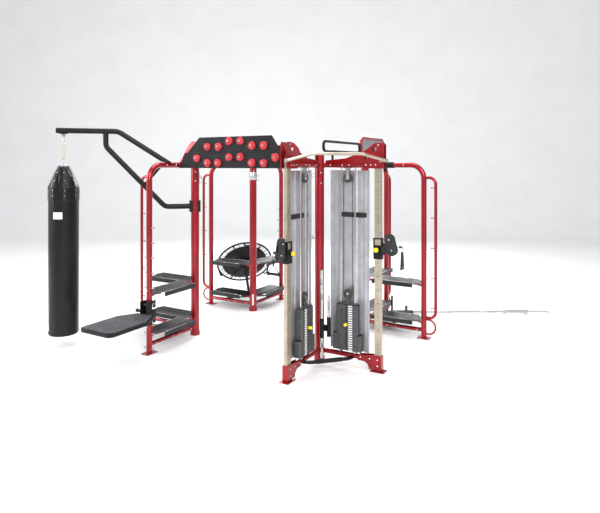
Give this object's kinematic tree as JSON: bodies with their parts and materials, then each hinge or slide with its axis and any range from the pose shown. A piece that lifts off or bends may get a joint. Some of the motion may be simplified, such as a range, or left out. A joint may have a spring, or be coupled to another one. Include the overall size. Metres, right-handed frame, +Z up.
{
  "type": "functional trainer",
  "caption": "Red tubular training cage with a dual adjustable-pulley bay, weight stacks, storage trays, heavy bag on a boom, rebounder, step and landmine bar",
  "frame": {"origin": "on the floor, under the axis of the front hub post", "axes": "+X along the cage from the left hub to the front hub, +Y from the front hub to the right hub, +Z up"},
  "size_m": [5.3185, 5.1114, 2.7141],
  "materials": {
    "red_powder_coat": "metallic candy red powder coat, glossy",
    "champagne_coat": "satin champagne metallic",
    "black_coat": "satin black powder coat",
    "charcoal_sheet": "textured charcoal sheet",
    "silver_sheet": "satin silver-grey sheet",
    "bolt_steel": "zinc-plated hardware",
    "chrome_rod": "polished chrome",
    "plate_paint": "textured dark grey paint on iron plates",
    "pulley_plastic": "moulded dark grey",
    "swivel_coat": "satin dark grey",
    "sleeve_coat": "satin mid grey",
    "knob_plastic": "glossy yellow knobs",
    "black_plastic": "moulded black grip",
    "tread_rubber": "ribbed grey-black rubber",
    "cable_jacket": "black nylon jacket",
    "board_texture": "fine-textured black board",
    "hold_resin": "coral-red cast resin",
    "bag_vinyl": "glossy black vinyl with soft wrinkles",
    "strap_webbing": "woven webbing with steel links",
    "mat_weave": "woven black polypropylene"
  },
  "bodies": {
    "frame": {"hub_posts": "red_powder_coat", "end_uprights": "red_powder_coat", "top_beams": "red_powder_coat", "bottom_beams": "red_powder_coat", "side_rails": "red_powder_coat", "foot_plates": "red_powder_coat", "frame_bolts": "bolt_steel", "shelf_trays": "charcoal_sheet", "shelf_brackets": "black_coat", "bag_boom": "black_coat", "climbing_boards": "board_texture", "climbing_holds": "hold_resin", "gusset_plates": "red_powder_coat", "bay_posts": "champagne_coat", "stack_shrouds": "silver_sheet", "guide_rods": "chrome_rod", "pulley_brackets": "bolt_steel", "resting_plates": "plate_paint", "lift_cable_left": "cable_jacket", "lift_cable_right": "cable_jacket", "pull_up_bar": "champagne_coat", "foot_bar": "black_coat", "bar_holder": "black_coat", "overhead_frame": "black_coat", "target_frame": "red_powder_coat", "corner_mounts": "black_coat", "hub_hooks": "bolt_steel"},
    "bag_swivel": {"bag_swivel": "bolt_steel"},
    "bag_link": {"bag_hanger": "strap_webbing"},
    "bag": {"heavy_bag": "bag_vinyl"},
    "step": {"step_deck": "black_coat", "step_tread": "tread_rubber"},
    "step_pin": {"step_pop_pin": "black_plastic"},
    "rebounder": {"rebounder_frame": "black_coat", "rebounder_mat": "mat_weave"},
    "landmine_swivel": {"landmine_swivel": "black_coat"},
    "landmine_sleeve": {"landmine_sleeve": "sleeve_coat"},
    "olympic_bar": {"olympic_bar": "chrome_rod"},
    "strap_handle": {"strap_handle": "strap_webbing"},
    "d_handle": {"d_handle": "black_coat"},
    "long_bar": {"long_bar": "chrome_rod"},
    "short_bar": {"short_bar": "chrome_rod"},
    "top_pulley_left": {"top_pulley_left": "pulley_plastic"},
    "stack_left": {"stack_left": "plate_paint"},
    "selector_left": {"selector_left": "knob_plastic"},
    "stack_pulley_left": {"stack_pulley_left": "pulley_plastic"},
    "trolley_left": {"trolley_left": "black_coat"},
    "pull_pin_left": {"pull_pin_left": "knob_plastic"},
    "swivel_left": {"swivel_left": "swivel_coat"},
    "upper_pulley_left": {"upper_pulley_left": "pulley_plastic"},
    "lower_pulley_left": {"lower_pulley_left": "pulley_plastic"},
    "top_pulley_right": {"top_pulley_right": "pulley_plastic"},
    "stack_right": {"stack_right": "plate_paint"},
    "selector_right": {"selector_right": "knob_plastic"},
    "stack_pulley_right": {"stack_pulley_right": "pulley_plastic"},
    "trolley_right": {"trolley_right": "black_coat"},
    "pull_pin_right": {"pull_pin_right": "knob_plastic"},
    "swivel_right": {"swivel_right": "swivel_coat"},
    "upper_pulley_right": {"upper_pulley_right": "pulley_plastic"},
    "lower_pulley_right": {"lower_pulley_right": "pulley_plastic"}
  },
  "joints": [
    {"name": "bag_swing_side", "type": "hinge", "parent": "frame", "child": "bag_swivel", "pos_m": [-3.0091, -1.1441, 2.605], "axis": [0.7071, 0.7071, 0], "range_deg": [-15, 15]},
    {"name": "bag_swing_along", "type": "hinge", "parent": "bag_swivel", "child": "bag_link", "pos_m": [-3.0091, -1.1441, 2.5208], "axis": [0.7071, -0.7071, 0], "range_deg": [-15, 15]},
    {"name": "bag_spin", "type": "hinge", "parent": "bag_link", "child": "bag", "pos_m": [-3.0091, -1.1441, 2.25], "axis": [0, 0, 1], "range_deg": [-180, 180]},
    {"name": "step_lift", "type": "slide", "parent": "frame", "child": "step", "axis": [0, 0, 1], "range_m": [0, 0.05]},
    {"name": "step_pin_pull", "type": "slide", "parent": "step", "child": "step_pin", "axis": [-1, 0, 0], "range_m": [0, 0.015], "stiffness_N_per_m": 400},
    {"name": "trolley_right_height", "type": "slide", "parent": "frame", "child": "trolley_right", "axis": [0, 0, 1], "range_m": [-0.882, 0.588]},
    {"name": "pull_pin_right_pull", "type": "slide", "parent": "trolley_right", "child": "pull_pin_right", "axis": [0, -1, 0], "range_m": [0, 0.012], "stiffness_N_per_m": 400},
    {"name": "swivel_right_turn", "type": "hinge", "parent": "trolley_right", "child": "swivel_right", "pos_m": [0.798, 0, 1.341], "axis": [0, 0, 1], "range_deg": [-75, 75]},
    {"name": "strap_handle_swing", "type": "hinge", "parent": "swivel_right", "child": "strap_handle", "pos_m": [0.993, 0, 1.372], "axis": [0, 1, 0], "range_deg": [-70, 10]},
    {"name": "stack_right_lift", "type": "slide", "parent": "frame", "child": "stack_right", "axis": [0, 0, 1], "range_m": [0, 1.1], "deforming": ["lift_cable_right"]},
    {"name": "selector_right_pull", "type": "slide", "parent": "stack_right", "child": "selector_right", "axis": [0, -1, 0], "range_m": [0, 0.07]},
    {"name": "top_pulley_right_turn", "type": "hinge", "parent": "frame", "child": "top_pulley_right", "pos_m": [0.36, 0, 2.107], "axis": [0, 1, 0], "range_deg": [-2400, 2400]},
    {"name": "stack_pulley_right_turn", "type": "hinge", "parent": "stack_right", "child": "stack_pulley_right", "pos_m": [0.36, 0, 0.803], "axis": [0, 1, 0], "range_deg": [-1200, 1200]},
    {"name": "upper_pulley_right_turn", "type": "hinge", "parent": "swivel_right", "child": "upper_pulley_right", "pos_m": [0.848, 0, 1.443], "axis": [0, 1, 0], "range_deg": [-2650, 2650]},
    {"name": "lower_pulley_right_turn", "type": "hinge", "parent": "swivel_right", "child": "lower_pulley_right", "pos_m": [0.879, 0, 1.331], "axis": [0, 1, 0], "range_deg": [-2650, 2650]},
    {"name": "trolley_left_height", "type": "slide", "parent": "frame", "child": "trolley_left", "axis": [0, 0, 1], "range_m": [-0.882, 0.588]},
    {"name": "pull_pin_left_pull", "type": "slide", "parent": "trolley_left", "child": "pull_pin_left", "axis": [1, 0, 0], "range_m": [0, 0.012], "stiffness_N_per_m": 400},
    {"name": "swivel_left_turn", "type": "hinge", "parent": "trolley_left", "child": "swivel_left", "pos_m": [0, -0.798, 1.341], "axis": [0, 0, 1], "range_deg": [-75, 75]},
    {"name": "d_handle_swing", "type": "hinge", "parent": "swivel_left", "child": "d_handle", "pos_m": [0, -0.993, 1.372], "axis": [1, 0, 0], "range_deg": [-70, 10]},
    {"name": "stack_left_lift", "type": "slide", "parent": "frame", "child": "stack_left", "axis": [0, 0, 1], "range_m": [0, 1.1], "deforming": ["lift_cable_left"]},
    {"name": "selector_left_pull", "type": "slide", "parent": "stack_left", "child": "selector_left", "axis": [1, 0, 0], "range_m": [0, 0.07]},
    {"name": "top_pulley_left_turn", "type": "hinge", "parent": "frame", "child": "top_pulley_left", "pos_m": [0, -0.36, 2.107], "axis": [1, 0, 0], "range_deg": [-2400, 2400]},
    {"name": "stack_pulley_left_turn", "type": "hinge", "parent": "stack_left", "child": "stack_pulley_left", "pos_m": [0, -0.36, 0.803], "axis": [1, 0, 0], "range_deg": [-1200, 1200]},
    {"name": "upper_pulley_left_turn", "type": "hinge", "parent": "swivel_left", "child": "upper_pulley_left", "pos_m": [0, -0.848, 1.443], "axis": [1, 0, 0], "range_deg": [-2650, 2650]},
    {"name": "lower_pulley_left_turn", "type": "hinge", "parent": "swivel_left", "child": "lower_pulley_left", "pos_m": [0, -0.879, 1.331], "axis": [1, 0, 0], "range_deg": [-2650, 2650]},
    {"name": "rebounder_tilt", "type": "hinge", "parent": "frame", "child": "rebounder", "pos_m": [-2.37553, 1.86253, 0.551], "axis": [0.7071, 0.7071, 0], "range_deg": [-15, 15]},
    {"name": "landmine_turn", "type": "hinge", "parent": "frame", "child": "landmine_swivel", "pos_m": [0.28638, 1.63838, 0.2], "axis": [0, 0, 1], "range_deg": [-35, 35]},
    {"name": "landmine_pitch", "type": "hinge", "parent": "landmine_swivel", "child": "landmine_sleeve", "pos_m": [0.33234, 1.68434, 0.185], "axis": [0.7071, -0.7071, 0], "range_deg": [0, 60]},
    {"name": "bar_spin", "type": "hinge", "parent": "landmine_sleeve", "child": "olympic_bar", "pos_m": [0.33234, 1.68434, 0.185], "axis": [0.7056, 0.7056, -0.0662], "continuous": true},
    {"name": "long_bar_lift", "type": "slide", "parent": "frame", "child": "long_bar", "axis": [0, 0, 1], "range_m": [0, 0.7]},
    {"name": "short_bar_lift", "type": "slide", "parent": "frame", "child": "short_bar", "axis": [0, 0, 1], "range_m": [0, 0.45]}
  ],
  "couplings": [
    {"joint": "top_pulley_right_turn", "follows": "stack_right_lift", "rad_per_m": 37.7},
    {"joint": "stack_pulley_right_turn", "follows": "stack_right_lift", "rad_per_m": 18.9},
    {"joint": "upper_pulley_right_turn", "follows": "stack_right_lift", "rad_per_m": -41.7},
    {"joint": "lower_pulley_right_turn", "follows": "stack_right_lift", "rad_per_m": 41.7},
    {"joint": "top_pulley_left_turn", "follows": "stack_left_lift", "rad_per_m": -37.7},
    {"joint": "stack_pulley_left_turn", "follows": "stack_left_lift", "rad_per_m": -18.9},
    {"joint": "upper_pulley_left_turn", "follows": "stack_left_lift", "rad_per_m": 41.7},
    {"joint": "lower_pulley_left_turn", "follows": "stack_left_lift", "rad_per_m": -41.7}
  ]
}
